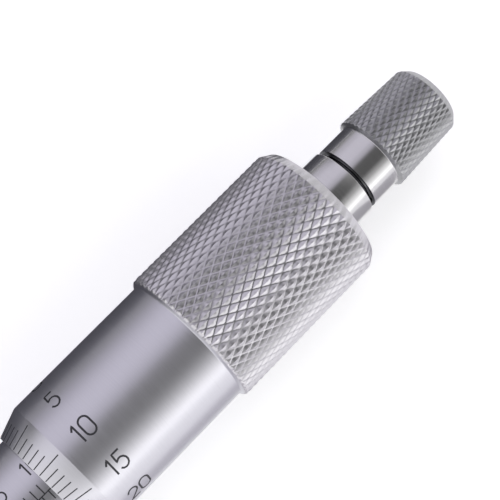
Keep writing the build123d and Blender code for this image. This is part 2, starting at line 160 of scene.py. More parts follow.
class KnobSettings(bpy.types.PropertyGroup):
    """Sizes of the ratchet knob, in the frame's own axes."""

    neck_radius: length("Neck radius", "Radius of the smooth neck", 4.6)
    neck_length: length("Neck length", "Length of the smooth neck", 4.13)
    front_radius: length("Front radius", "Grip radius beside the neck", 5.225)
    rear_radius: length("Rear radius", "Grip radius at the rear chamfer", 4.85)
    front_chamfer: length("Front chamfer", "Axial length of the chamfer beside the neck", 0.36)
    rear_chamfer: length("Rear chamfer", "Axial length of the rear chamfer", 0.9)
    end_radius: length("End radius", "Outer radius of the end face", 4.05)
    eased: length("Eased corners", "Rounding of the turned corners", 0.1)
    starts: count("Knurl starts", "Grooves each way around the grip", 40)
    axial_pitch: length("Knurl axial pitch", "Distance along the axis between like grooves", 1.59)
    knurl_depth: length("Knurl depth", "Depth of the crossing grooves", 0.15)
    land: share("Knurl land", "Share of a diamond that stays flat on top", 0.1)


class ScaleSettings(bpy.types.PropertyGroup):
    """Lines and numbers of both scales."""

    reading_at_rest: length("Reading", "Size that the jaws are set to as stored", 10.12)
    smallest: length("Smallest size", "Lower end of the sleeve's scale", 5.0)
    largest: length("Largest size", "Upper end of the sleeve's scale", 30.0)
    pitch: length("Screw pitch", "Travel of the thimble in one turn", 0.5)
    divisions: count("Divisions", "Lines around the thimble", 50)
    numbered_every: count("Numbered every", "Lines from one number to the next", 5)
    number_x: length("Number place", "Middle of the thimble's numbers along the axis", 38.93)
    number_height: length("Number height", "Height of the thimble's digits", 2.4)
    number_stroke: length("Number stroke", "Stroke width of the thimble's digits", 0.24)
    short_line: length("Short line", "Length of a plain line on the thimble's bevel", 2.0)
    long_line: length("Long line", "Length of a numbered line on the thimble's bevel", 3.1)
    line_width: length("Line width", "Width of a line on both scales", 0.15)
    sleeve_front_gap: length("Base line front gap", "From the sleeve's front end to its base line", 1.5)
    sleeve_rear_gap: length("Base line rear gap", "From the base line to the sleeve's rear end", 1.0)
    half_line: length("Half line", "Length of a half millimetre's line, below the base line", 1.2)
    whole_line: length("Whole line", "Length of a millimetre's line, above the base line", 1.4)
    fifth_line: length("Fifth line", "Length of each numbered line of the sleeve", 2.2)
    sleeve_number_gap: length("Sleeve number gap", "From the base line to the sleeve's digits", 2.6)
    sleeve_number_height: length("Sleeve number height", "Height of the sleeve's digits", 1.9)
    sleeve_number_stroke: length("Sleeve number stroke", "Stroke width of the sleeve's digits", 0.2)
    standing: length("Paint thickness", "How far the paint stands out of its groove", 0.012)
    sunk: length("Groove depth", "How far the paint reaches into the metal", 0.05)


class FinishSettings(bpy.types.PropertyGroup):
    """Colours of the finishes."""

    satin_chrome: colour("Satin chrome", "Turned steel under satin chrome plate", "#CAC9CF")
    bright_chrome: colour("Bright chrome", "Fine-turned steel under bright plate", "#C8C7C8")
    knurled_chrome: colour("Knurled chrome", "Knurled steel under satin plate", "#C9C7CB")
    knob_chrome: colour("Knob chrome", "Knurled steel of the ratchet stop", "#A5A5A7")
    blasted_chrome: colour("Blasted chrome", "Forged steel, blasted and plated", "#C4C4CB")
    # Painted shade: the dark colour that the knurls' grooves are painted towards at their bottoms
    groove: colour("Groove", "Thin plate and oil at the bottom of the knurls", "#4A4A50")
    ground_steel: colour("Ground steel", "Hardened steel, ground bright", "#C9C7C4")
    dark_steel: colour("Blued steel", "Steel blued in hot salts", "#3A3C44")
    bronze: colour("Bronze", "Reamed tin bronze", "#B58A55")
    brass: colour("Brass", "Turned brass", "#C9A860")
    paint: colour("Scale paint", "Black enamel rubbed into the engraving", "#1B1B1E")
    worn_paint: colour("Worn paint", "The same enamel where it is rubbed thin", "#2E2E33")


class StudioSettings(bpy.types.PropertyGroup):
    """Camera and sheet."""

    camera_elevation: bpy.props.FloatProperty(
        name="Elevation", description="Camera above the horizon", default=radians(73.44), subtype="ANGLE"
    )
    camera_azimuth: bpy.props.FloatProperty(
        name="Azimuth", description="Camera around the upright, 0 looks along +Y",
        default=radians(-46.49), subtype="ANGLE",
    )
    camera_depth: length("Camera depth", "Distance from the camera to the aim along its view", 177.61)
    aim_x: length("Aim", "Point on the screw's axis that the camera is placed by", 56.005)
    aim_pixel: bpy.props.FloatVectorProperty(
        name="Aim pixel", description="Where the aim appears, from the picture's upper left corner",
        size=2, default=(192.094, 335.811),
    )
    focal_length: bpy.props.FloatProperty(
        name="Focal length", description="Lens on a 36 mm sensor, in millimetres", default=108.0, min=1.0
    )
    picture_size: count("Picture size", "Side of the square picture in pixels", 500)
    sheet: colour("Sheet", "Matt white studio sheet", "#F4F4F5")
    sheet_fibre: colour("Sheet fibre", "The sheet's palest fibres", "#F8F8F9")
    sheet_lift: share("Sheet lift", "White added where the camera or a reflection sees the sheet", 0.35)


def add_node(tree, kind, inputs=(), **settings):
    """A node with its settings. An input is a value, a socket, or a node whose first output is meant."""
    made = tree.nodes.new(kind)
    for name, value in settings.items():
        setattr(made, name, value)
    for place, value in inputs.items() if isinstance(inputs, dict) else enumerate(inputs):
        if isinstance(value, bpy.types.Node):
            value = value.outputs[0]
        if isinstance(value, bpy.types.NodeSocket):
            tree.links.new(value, made.inputs[place])
        else:
            made.inputs[place].default_value = value
    return made


def new_material(name):
    """An empty material and its tree."""
    material = bpy.data.materials.new(name)
    material.use_nodes = True
    material.node_tree.nodes.clear()
    return material, material.node_tree


def close_material(tree, inputs):
    """Ends a material's tree in a principled shader with these inputs."""
    shader = add_node(tree, "ShaderNodeBsdfPrincipled", inputs)
    add_node(tree, "ShaderNodeOutputMaterial", {"Surface": shader})


def grain(tree, size, detail):
    """Fine even grain of a blasted, plated or painted surface."""
    place = add_node(tree, "ShaderNodeTexCoord").outputs["Object"]
    noise = add_node(tree, "ShaderNodeTexNoise", {"Vector": place, "Scale": 1 / size, "Detail": detail})
    return noise.outputs["Fac"]


def tool_marks(tree, spacing, drift):
    """Marks of a lathe tool, rings about the X axis on cylinders, cones and end faces alike."""
    place = add_node(tree, "ShaderNodeTexCoord").outputs["Object"]
    parts = add_node(tree, "ShaderNodeSeparateXYZ", [place]).outputs
    across = add_node(tree, "ShaderNodeCombineXYZ", {"Y": parts["Y"], "Z": parts["Z"]})
    radius = add_node(tree, "ShaderNodeVectorMath", [across], operation="LENGTH").outputs["Value"]
    reach = add_node(tree, "ShaderNodeMath", [parts["X"], radius], operation="ADD")
    rings = add_node(tree, "ShaderNodeCombineXYZ", [
        add_node(tree, "ShaderNodeMath", [value, step], operation="DIVIDE")
        for value, step in ((reach, spacing), (parts["Y"], drift), (parts["Z"], drift))
    ])
    noise = add_node(
        tree, "ShaderNodeTexNoise", {"Vector": rings, "Scale": 1.0, "Detail": 3.0, "Roughness": 0.6}
    )
    return noise.outputs["Fac"]


def bright_metal(tree, tint, roughness, marks, spread, height):
    """Shader inputs of bright metal whose gloss, tone and height follow its marks."""
    darkest = 0.94
    rough, shade = (
        add_node(tree, "ShaderNodeMapRange", [marks, NOISE_LOW, NOISE_HIGH, low, high])
        for low, high in ((roughness - spread, roughness + spread), (darkest, 1.0))
    )
    tone = add_node(
        tree, "ShaderNodeMix", {0: 1.0, 6: tint, 7: shade}, data_type="RGBA", blend_type="MULTIPLY"
    )
    bump = add_node(tree, "ShaderNodeBump", {"Height": marks, "Distance": height, "Strength": 1.0})
    return {"Metallic": 1.0, "Base Color": tone.outputs[2], "Roughness": rough, "Normal": bump}


def finishes():
    """The finish colours that the user has set."""
    return bpy.context.scene.micrometer_finishes


def turned_metal(name, finish, roughness, spacing, drift, spread, height):
    """Turned, ground or drawn metal, with its tool marks around the axis. Sizes are in millimetres.
    The real marks, about 0.02 mm apart, are drawn coarser so that they show."""
    material, tree = new_material(name)
    marks = tool_marks(tree, spacing * MM, drift * MM)
    tint = getattr(finishes(), finish)
    close_material(tree, bright_metal(tree, tint, roughness, marks, spread, height * MM))
    return material


def knurled_chrome(name, tint):
    """Chrome plate over rolled knurls: each diamond's facets catch the light apart, and shade is painted
    into the grooves, darker towards their bottoms. The plate's grain, about 0.02 mm on the real one, is
    drawn
    0.16 mm across so that it shows."""
    material, tree = new_material(name)
    plate = grain(tree, size=0.16 * MM, detail=2.0)
    metal = bright_metal(tree, tint, roughness=0.32, marks=plate, spread=0.05, height=0.004 * MM)
    # Painted shade: the groove colour is mixed in towards the bottoms of the grooves, up to a share at the
    # deepest point
    narrowness, shade_at_bottom = 4.0, 0.35
    groove = add_node(tree, "ShaderNodeAttribute", attribute_name="groove").outputs["Fac"]
    bottom = add_node(tree, "ShaderNodeMath", [groove, narrowness], operation="POWER")
    groove_shade = add_node(tree, "ShaderNodeMath", [bottom, shade_at_bottom], operation="MULTIPLY")
    tones = {0: groove_shade, 6: metal["Base Color"], 7: finishes().groove}
    shaded_tone = add_node(tree, "ShaderNodeMix", tones, data_type="RGBA")
    close_material(tree, {**metal, "Base Color": shaded_tone.outputs[2]})
    return material


def blasted_chrome():
    """Chrome plate over blasted forgings: an even, fine-grained matt grey without bands.
    The grit's dimples, 0.05 mm across on the real one, are drawn 0.12 mm across so that they show."""
    material, tree = new_material("blasted_chrome_forged_steel")
    dimples = grain(tree, size=0.12 * MM, detail=3.0)
    close_material(tree, bright_metal(
        tree, finishes().blasted_chrome, roughness=0.36, marks=dimples, spread=0.05, height=0.006 * MM
    ))
    return material


def black_enamel():
    """Enamel rubbed into the engraving and wiped flush: matt black, a little uneven in tone."""
    material, tree = new_material("black_enamel_engraving")
    worn = grain(tree, size=0.3 * MM, detail=2.0)
    tones = {0: worn, 6: finishes().paint, 7: finishes().worn_paint}
    tone = add_node(tree, "ShaderNodeMix", tones, data_type="RGBA")
    close_material(tree, {"Base Color": tone.outputs[2], "Roughness": 0.55})
    return material


def studio_sheet():
    """Matt white paper. The camera and the metal see it near white, and the shadow stays on it."""
    material, tree = new_material("matt_white_studio_sheet")
    studio = bpy.context.scene.micrometer_studio
    fibre = grain(tree, size=0.8 * MM, detail=2.0)
    tones = {0: fibre, 6: studio.sheet, 7: studio.sheet_fibre}
    tone = add_node(tree, "ShaderNodeMix", tones, data_type="RGBA")
    ray = add_node(tree, "ShaderNodeLightPath").outputs
    seen = ray["Is Camera Ray"]
    for kind in ("Is Glossy Ray", "Is Transmission Ray"):
        seen = add_node(tree, "ShaderNodeMath", [seen, ray[kind]], operation="MAXIMUM")
    lift = add_node(tree, "ShaderNodeMath", [seen, studio.sheet_lift], operation="MULTIPLY")
    close_material(tree, {
        "Base Color": tone.outputs[2], "Roughness": MATT, "Emission Strength": lift,
        "Emission Color": linear("#FFFFFF"),
    })
    return material


# Turned metals by slot: the material's name, its colour's setting, its roughness, the millimetres between
# its marks and along each, and how much they change its roughness and, in millimetres, its height
TURNED_METALS = {
    # Plate over turned steel: a cool grey sheen, with highlights along the axis as soft bands
    "satin_chrome": ("satin_chrome_turned_steel", "satin_chrome", 0.32, 0.09, 4.0, 0.03, 0.0003),
    # Plate over fine-turned steel on the ratchet's necks: the same grey in sharp dark and bright bands
    "bright_chrome": ("bright_chrome_fine_turned_steel", "bright_chrome", 0.17, 0.07, 4.0, 0.03, 0.0002),
    # Hardened and ground: nearly a mirror, broken by fine rings across the axis
    "ground_steel": ("hardened_ground_steel", "ground_steel", 0.18, 0.06, 3.0, 0.05, 0.0008),
    # Blued in hot salts after turning: near black with a cool sheen
    "dark_steel": ("hot_blued_steel", "dark_steel", 0.3, 0.1, 3.0, 0.05, 0.0008),
    # Drawn and tempered: grey with the die's dull marks
    "spring_steel": ("drawn_spring_wire", "ground_steel", 0.3, 0.12, 3.0, 0.05, 0.0008),
    # Cast and reamed: warm brown with a soft shine
    "bronze": ("reamed_tin_bronze", "bronze", 0.28, 0.08, 3.0, 0.05, 0.0008),
    # Turned and left bare: clear yellow with rings around the axis
    "brass_pad": ("turned_brass", "brass", 0.25, 0.08, 3.0, 0.05, 0.0008),
}
OTHER_FINISHES = {
    "knurled_chrome": lambda: knurled_chrome("satin_chrome_knurled_steel", finishes().knurled_chrome),
    # The stop's finer knurls hold more oil, which leaves it a darker, neutral grey
    "knob_chrome": lambda: knurled_chrome("satin_chrome_knurled_stop", finishes().knob_chrome),
    "satin_steel": blasted_chrome,
    "paint": black_enamel,
}
MATERIALS = {}


def material_for(slot):
    """The material of a slot of the record, made on first use."""
    if slot not in MATERIALS:
        turned = TURNED_METALS.get(slot)
        MATERIALS[slot] = turned_metal(*turned) if turned else OTHER_FINISHES[slot]()
    return MATERIALS[slot]


def rounded(corners, radius, steps=3, most=0.3):
    """A closed outline with each corner eased by a small arc, over at most a share of its two sides."""
    points = []
    for i, corner in enumerate(corners):
        here = Vector(corner)
        before = Vector(corners[i - 1]) - here
        after = Vector(corners[(i + 1) % len(corners)]) - here
        turn = pi - before.angle(after)
        reach = min(radius * tan(turn / 2), most * before.length, most * after.length)
        start, end = here + before.normalized() * reach, here + after.normalized() * reach
        for step in range(steps + 1):
            t = step / steps
            points.append((1 - t) ** 2 * start + 2 * t * (1 - t) * here + t ** 2 * end)
    return points


def divided(points, low_x, high_x, least_radius, step):
    """The outline with short steps on the outer side between two places along the axis."""
    result = []
    for i, point in enumerate(points):
        result.append(point)
        following = points[(i + 1) % len(points)]
        outer = min(point.y, following.y) > least_radius
        inside = low_x <= (point.x + following.x) / 2 <= high_x
        parts = round((following - point).length / step) if outer and inside else 1
        result.extend(point.lerp(following, k / parts) for k in range(1, parts))
    return result


def placed(name, data):
    """A new object in the scene that shows this data."""
    made = bpy.data.objects.new(name, data)
    bpy.context.scene.collection.objects.link(made)
    return made


def mesh_object(name, vertices, edges=(), faces=()):
    """A new mesh object in the scene."""
    mesh = bpy.data.meshes.new(name)
    mesh.from_pydata(vertices, edges, faces)
    return placed(name, mesh)


def lathed(name, outline, segments):
    """An outline of (x, radius) turned about the X axis. The turning stays a modifier."""
    vertices = [(p[0], 0.0, p[1]) for p in outline]
    edges = [(i, (i + 1) % len(vertices)) for i in range(len(vertices))]
    made = mesh_object(name, vertices, edges)
    screw = made.modifiers.new("turning", "SCREW")
    screw.axis = "X"
    screw.steps = screw.render_steps = segments
    screw.use_merge_vertices = True
    screw.merge_threshold = MERGE_DISTANCE
    return made


def new_geometry_tree(name, *sizes):
    """A geometry node tree with named inputs, and the sockets that give their values."""
    tree = bpy.data.node_groups.new(name, "GeometryNodeTree")
    tree.interface.new_socket("Geometry", in_out="OUTPUT", socket_type="NodeSocketGeometry")
    kinds = {"Geometry": "NodeSocketGeometry", **dict.fromkeys(ENDS + sizes, "NodeSocketFloat")}
    for label, kind in {**kinds, "Material": "NodeSocketMaterial"}.items():
        tree.interface.new_socket(label, in_out="INPUT", socket_type=kind)
    return tree, add_node(tree, "NodeGroupInput").outputs


def close_tree(tree, geometry, material):
    """Ends a geometry node tree in Realize Instances and Set Material."""
    real = add_node(tree, "GeometryNodeRealizeInstances", [geometry])
    dressed = add_node(tree, "GeometryNodeSetMaterial", {"Geometry": real, "Material": material})
    add_node(tree, "NodeGroupOutput", [dressed])


def use_tree(target, tree, surface, slot, sizes):
    """Adds a tree to an object as a modifier, with its inputs set by their sockets' identifiers. The
    surface is given as two places along the axis, each with its radius."""
    modifier = target.modifiers.new(tree.name, "NODES")
    modifier.node_group = tree
    places, radii = zip(*surface)
    values = {**dict(zip(ENDS, places + radii)), **sizes, "Material": material_for(slot)}
    for item in tree.interface.items_tree:
        if item.in_out == "INPUT" and item.name in values:
            modifier[item.identifier] = values[item.name]


def reckoned(tree, given, clamp, steps):
    """What a tree works out at a place: the surface's radius there, straight between its two ends, then
    each step's operation on numbers, inputs and earlier steps. Gives all of it, and the new place."""
    place = add_node(tree, "GeometryNodeInputPosition")
    parts = add_node(tree, "ShaderNodeSeparateXYZ", [place]).outputs
    ends = [given[end] for end in ENDS]
    surface = add_node(tree, "ShaderNodeMapRange", [parts["X"], *ends], clamp=clamp)
    values = {**dict(given.items()), **dict(parts.items()), "surface": surface}
    for name, operation, *terms in steps:
        inputs = [values.get(term, term) for term in terms]
        values[name] = add_node(tree, "ShaderNodeMath", inputs, operation=operation)
    moved = add_node(tree, "ShaderNodeCombineXYZ", [values[way] for way in ("X", "new Y", "new Z")])
    return values, moved


def knurl_tree():
    """Crossing V grooves cut into a turned piece: its outer surface is lowered to the grooves' depth."""
    tree, given = new_geometry_tree("diamond_knurl", "Starts", "Axial pitch", "Depth", "Land")
    values, moved = reckoned(tree, given, clamp=False, steps=(
        ("Y squared", "MULTIPLY", "Y", "Y"),
        ("Z squared", "MULTIPLY", "Z", "Z"),
        ("radius squared", "ADD", "Y squared", "Z squared"),
        ("radius", "SQRT", "radius squared"),
        # Counts of grooves passed around the axis and along it
        ("angle", "ARCTAN2", "Z", "Y"),
        ("turns", "DIVIDE", "angle", 2 * pi),
        ("around", "MULTIPLY", "turns", "Starts"),
        ("reach", "SUBTRACT", "X", "Front place"),
        ("along", "DIVIDE", "reach", "Axial pitch"),
        # Distance to the nearest groove of each hand, from 0 in a groove to 0.5 midway
        ("left hand", "SUBTRACT", "around", "along"),
        ("right hand", "ADD", "around", "along"),
        ("to left", "PINGPONG", "left hand", 0.5),
        ("to right", "PINGPONG", "right hand", 0.5),
        ("nearest", "MINIMUM", "to left", "to right"),
        # Height in a groove, from 0 at its bottom to 1 on the diamond's flat top
        ("slope", "SUBTRACT", 1.0, "Land"),
        ("flank", "MULTIPLY", "slope", 0.5),
        ("rise", "DIVIDE", "nearest", "flank"),
        ("height", "MINIMUM", "rise", 1.0),
        # The outer surface is lowered to the grooves, and what already lies lower stays
        ("missing", "SUBTRACT", 1.0, "height"),
        ("cut", "MULTIPLY", "missing", "Depth"),
        ("knurled", "SUBTRACT", "surface", "cut"),
        ("lowered", "MINIMUM", "radius", "knurled"),
        ("share", "DIVIDE", "lowered", "radius"),
        ("new Y", "MULTIPLY", "Y", "share"),
        ("new Z", "MULTIPLY", "Z", "share"),
        ("drop", "SUBTRACT", "radius", "lowered"),
        ("groove", "DIVIDE", "drop", "Depth"),
    ))
    marked = add_node(
        tree, "GeometryNodeStoreNamedAttribute",
        {"Geometry": given["Geometry"], "Name": "groove", "Value": values["groove"]},
        data_type="FLOAT", domain="POINT",
    )
    shaped = add_node(tree, "GeometryNodeSetPosition", {"Geometry": marked, "Position": moved})
    close_tree(tree, add_node(tree, "GeometryNodeTriangulate", {"Mesh": shaped}), given["Material"])
    return tree


def marks_tree():
    """Flat strokes, x along the axis and y around it, drawn as bars and wrapped on a turned surface."""
    tree, given = new_geometry_tree("wrapped_marks", "Stroke", "Standing", "Sunk")
    values, moved = reckoned(tree, given, clamp=True, steps=(
        ("thickness", "ADD", "Standing", "Sunk"),
        # The bars' middle lies below the surface by half the difference of the two depths
        ("excess", "SUBTRACT", "Standing", "Sunk"),
        ("lift", "MULTIPLY", "excess", 0.5),
        ("raised", "ADD", "Z", "lift"),
        ("radius", "ADD", "surface", "raised"),
        ("angle", "DIVIDE", "Y", "Rear radius"),
        ("sine", "SINE", "angle"),
        ("cosine", "COSINE", "angle"),
        ("new Y", "MULTIPLY", "radius", "sine"),
        ("new Z", "MULTIPLY", "radius", "cosine"),
    ))
    strokes = add_node(tree, "GeometryNodeMeshToCurve", {"Mesh": given["Geometry"]})
    level = add_node(tree, "GeometryNodeSetCurveNormal", {"Curve": strokes}, mode="Z_UP")
    sides = {"Width": given["Stroke"], "Height": values["thickness"]}
    section = add_node(tree, "GeometryNodeCurvePrimitiveQuadrilateral", sides)
    bars = add_node(
        tree, "GeometryNodeCurveToMesh", {"Curve": level, "Profile Curve": section, "Fill Caps": True}
    )
    laid = add_node(tree, "GeometryNodeSetPosition", {"Geometry": bars, "Position": moved})
    close_tree(tree, laid, given["Material"])
    return tree


def frozen(source, name, smooth_angle):
    """The evaluated object as a plain mesh piece at the origin, with outward faces and smoothed rounds."""
    bpy.context.view_layer.update()
    evaluated = source.evaluated_get(bpy.context.evaluated_depsgraph_get())
    mesh = bpy.data.meshes.new_from_object(evaluated)
    bpy.data.objects.remove(source)
    if not mesh.polygons:
        raise RuntimeError(name + " came out without faces")
    mesh.name = name
    work = bmesh.new()
    work.from_mesh(mesh)
    bmesh.ops.remove_doubles(work, verts=work.verts, dist=MERGE_DISTANCE)
    bmesh.ops.recalc_face_normals(work, faces=work.faces)
    work.to_mesh(mesh)
    work.free()
    mesh.shade_smooth()
    mesh.set_sharp_from_angle(angle=radians(smooth_angle))
    return placed(name, mesh)


def knurled(name, corners, size, stretch, band, slot, cutter=None):
    """A turned piece with crossing grooves in its band, which is given as two places, each with its radius.
    Its outline gets short steps along a stretch of the axis, outside the radius given with the stretch."""
    outline = divided(rounded(corners, size.eased), *stretch, size.axial_pitch / DIAMOND_STEPS)
    source = lathed(name + "_turning", outline, DIAMOND_STEPS * size.starts)
    if cutter:
        slots = source.modifiers.new("slots", "BOOLEAN")
        slots.object = cutter
        slots.operation = "DIFFERENCE"
        slots.solver = "MANIFOLD"
    use_tree(source, knurl_tree(), band, slot, {
        "Starts": float(size.starts), "Axial pitch": size.axial_pitch, "Depth": size.knurl_depth,
        "Land": size.land,
    })
    return frozen(source, name, smooth_angle=22)


def eased_copy(node, width, inner):
    """A CAD node's copy with its facets merged and its sharp edges eased by a narrow bevel, on request
    its inner corners too."""
    source = placed(node + "_work", frame["nodes"][node].data.copy())
    work = bmesh.new()
    work.from_mesh(source.data)
    bmesh.ops.remove_doubles(work, verts=work.verts, dist=CAD_MERGE_DISTANCE)
    bmesh.ops.dissolve_limit(work, angle_limit=FLAT_ANGLE, verts=work.verts, edges=work.edges)
    weight = work.edges.layers.float.new("bevel_weight_edge")
    for edge in work.edges:
        sharp = edge.is_manifold and edge.calc_face_angle() > SHARP_ANGLE
        edge[weight] = float(sharp and (inner or edge.is_convex))
    work.to_mesh(source.data)
    work.free()
    bevel = source.modifiers.new("eased_edges", "BEVEL")
    bevel.width = width
    bevel.segments = 2
    bevel.limit_method = "WEIGHT"
    bevel.use_clamp_overlap = True
    return frozen(source, node + "_finished", smooth_angle=24)


def paint_band(piece, low_x, high_x, slot):
    """Gives the turned faces between two places along the axis their own finish."""
    material = material_for(slot)
    materials = piece.data.materials
    if material.name not in materials:
        materials.append(material)
    index = materials.find(material.name)
    for face in piece.data.polygons:
        if low_x < face.center.x < high_x:
            face.material_index = index


def arc(centre, radii, start, end, steps=10):
    """Points of a stroke that follows an ellipse between two angles in degrees."""
    turn = [radians(start + (end - start) * i / steps) for i in range(steps + 1)]
    return [(centre[0] + radii[0] * cos(a), centre[1] + radii[1] * sin(a)) for a in turn]


# Strokes of engraved digits, in a box one high with its foot at 0. Each has its width first.
DIGITS = {
    "0": (0.56, [arc((0.28, 0.28), (0.28, 0.28), 180, 360) + arc((0.28, 0.72), (0.28, 0.28), 0, 180)
                 + [(0.0, 0.28)]]),
    "1": (0.3, [[(0.0, 0.76), (0.2, 1.0), (0.2, 0.0)]]),
    "2": (0.54, [arc((0.27, 0.73), (0.27, 0.27), 170, -35) + [(0.0, 0.0), (0.54, 0.0)]]),
    "3": (0.54, [arc((0.26, 0.755), (0.245, 0.245), 160, -90),
                 arc((0.26, 0.255), (0.28, 0.255), 90, -160)]),
    "4": (0.6, [[(0.44, 0.0), (0.44, 1.0), (0.0, 0.3), (0.6, 0.3)]]),
    "5": (0.54, [[(0.5, 1.0), (0.07, 1.0), (0.04, 0.53)] + arc((0.26, 0.32), (0.28, 0.32), 130, -150)]),
}
DIGIT_GAP = 0.17


def number_strokes(text, middle, height):
    """Strokes of a number about its middle, x to the right and y up."""
    widths = [DIGITS[digit][0] for digit in text]
    left = middle[0] - height * (sum(widths) + DIGIT_GAP * (len(text) - 1)) / 2
    strokes = []
    for digit, width in zip(text, widths):
        for stroke in DIGITS[digit][1]:
            strokes.append([(left + height * x, middle[1] + height * (y - 0.5)) for x, y in stroke])
        left += height * (width + DIGIT_GAP)
    return strokes


def stepped(stroke, step=0.2 * MM):
    """The stroke with its straight runs divided, so that it follows the surface that it is laid on."""
    points = [stroke[0]]
    for start, end in zip(stroke, stroke[1:]):
        run = Vector(end) - Vector(start)
        parts = max(1, round(run.length / step))
        points.extend(tuple(Vector(start) + run * i / parts) for i in range(1, parts + 1))
    return points


def marks_piece(name, strokes, stroke_width, surface):
    """Painted marks from flat strokes, wrapped on a turned surface."""
    vertices, edges = [], []
    for stroke in map(stepped, strokes):
        first = len(vertices)
        vertices.extend((x, y, 0.0) for x, y in stroke)
        edges.extend((first + i, first + i + 1) for i in range(len(stroke) - 1))
    source = mesh_object(name + "_strokes", vertices, edges)
    scale = bpy.context.scene.micrometer_scales
    sizes = {"Stroke": stroke_width, "Standing": scale.standing, "Sunk": scale.sunk}
    use_tree(source, marks_tree(), surface, "paint", sizes)
    return frozen(source, name, smooth_angle=40)


class MICROMETER_OT_thimble(bpy.types.Operator):
    """Turn the thimble with its bevel, barrel and diamond-knurled band"""

    bl_idname = "micrometer.thimble"
    bl_label = "Thimble"

    # The rear wall with the cone seat, which fits the screw
    WALL, CONE_RADIUS, CONE_REAR_RADIUS = 6.0 * MM, 4.21 * MM, 3.578 * MM
    # The band is what stands out of the barrel by more than this
    STANDING_OUT = 0.3 * MM

    def execute(self, context):
        size = context.scene.micrometer_thimble
        tip, rear, outer = THIMBLE_LOW.x, THIMBLE_HIGH.x, THIMBLE_HIGH.z
        knurl_start = rear - size.knurl_length
        shoulder = knurl_start - size.front_chamfer
        band_end = rear - size.rear_chamfer
        wall_x = rear - self.WALL
        corners = [
            (tip, size.bore_radius), (tip, size.bore_radius + size.bevel_lip),
            (tip + size.bevel_length, size.barrel_radius), (shoulder, size.barrel_radius),
            (knurl_start, outer - size.front_edge), (knurl_start + size.front_edge, outer),
            (band_end, outer), (rear, size.rear_radius),
            (rear, self.CONE_REAR_RADIUS), (wall_x, self.CONE_RADIUS), (wall_x, size.bore_radius),
        ]
        stretch = (shoulder, rear, size.barrel_radius + self.STANDING_OUT)
        band = ((knurl_start, outer), (band_end, outer))
        piece = knurled("knurled_thimble", corners, size, stretch, band, "knurled_chrome")
        paint_band(piece, tip - MM, knurl_start - PAINT_EDGE, "satin_chrome")
        paint_band(piece, rear - PAINT_EDGE / 2, rear + MM, "satin_chrome")
        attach(piece, "thimble")
        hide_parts("thimble")
        return {"FINISHED"}


class MICROMETER_OT_ratchet_knob(bpy.types.Operator):
    """Turn the ratchet knob with its neck, knurled grip, bore and slots"""

    bl_idname = "micrometer.ratchet_knob"
    bl_label = "Ratchet knob"

    # Inner sizes, which fit the disc, the spring, the stud and the washer
    BORE_RADIUS, BORE_DEPTH = 3.7 * MM, 7.5 * MM
    STUD_HOLE_RADIUS = 2.03 * MM
    RECESS_RADIUS, RECESS_DEPTH = 3.2 * MM, 3.05 * MM
    # Half the width of the slots for the disc's lugs, their reach from the axis, and their length
    SLOT = (0.74 * MM, 4.16 * MM, 3.64 * MM)
    # The grip is what stands out of the end face's edge by more than this
    STANDING_OUT = 0.2 * MM

    def execute(self, context):
        size = context.scene.micrometer_knob
        front, end = (corner.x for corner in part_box("ratchet_knob"))
        neck_end = front + size.neck_length
        grip_start = neck_end + size.front_chamfer
        grip_end = end - size.rear_chamfer
        seat_x = front + self.BORE_DEPTH
        recess_x = end - self.RECESS_DEPTH
        corners = [
            (front, self.BORE_RADIUS), (front, size.neck_radius), (neck_end, size.neck_radius),
            (grip_start, size.front_radius), (grip_end, size.rear_radius), (end, size.end_radius),
            (end, self.RECESS_RADIUS), (recess_x, self.RECESS_RADIUS), (recess_x, self.STUD_HOLE_RADIUS),
            (seat_x, self.STUD_HOLE_RADIUS), (seat_x, self.BORE_RADIUS),
        ]
        stretch = (neck_end, end, size.end_radius + self.STANDING_OUT)
        band = ((grip_start, size.front_radius), (grip_end, size.rear_radius))
        cutter = self.slot_cutter(front)
        piece = knurled("knurled_knob", corners, size, stretch, band, "knob_chrome", cutter)
        bpy.data.objects.remove(cutter)
        paint_band(piece, front - MM, neck_end + PAINT_EDGE, "bright_chrome")
        # Painted shade: the front face, satin chrome on the real knob, is given the near-black blued finish
        # for the shade in the groove between the two necks
        paint_band(piece, front - MM, front + PAINT_EDGE, "dark_steel")
        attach(piece, "ratchet_knob")
        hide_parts("ratchet_knob")
        return {"FINISHED"}

    def slot_cutter(self, front):
        """A bar across the bore, as long as the slots for the disc's lugs."""
        half_width, reach, depth = self.SLOT
        xs, ys, zs = (front - depth, front + depth), (-reach, reach), (-half_width, half_width)
        cutter = mesh_object("slot_cutter", [(x, y, z) for x in xs for y in ys for z in zs])
        work = bmesh.new()
        work.from_mesh(cutter.data)
        bmesh.ops.convex_hull(work, input=work.verts)
        work.to_mesh(cutter.data)
        work.free()
        cutter.hide_render = True
        return cutter


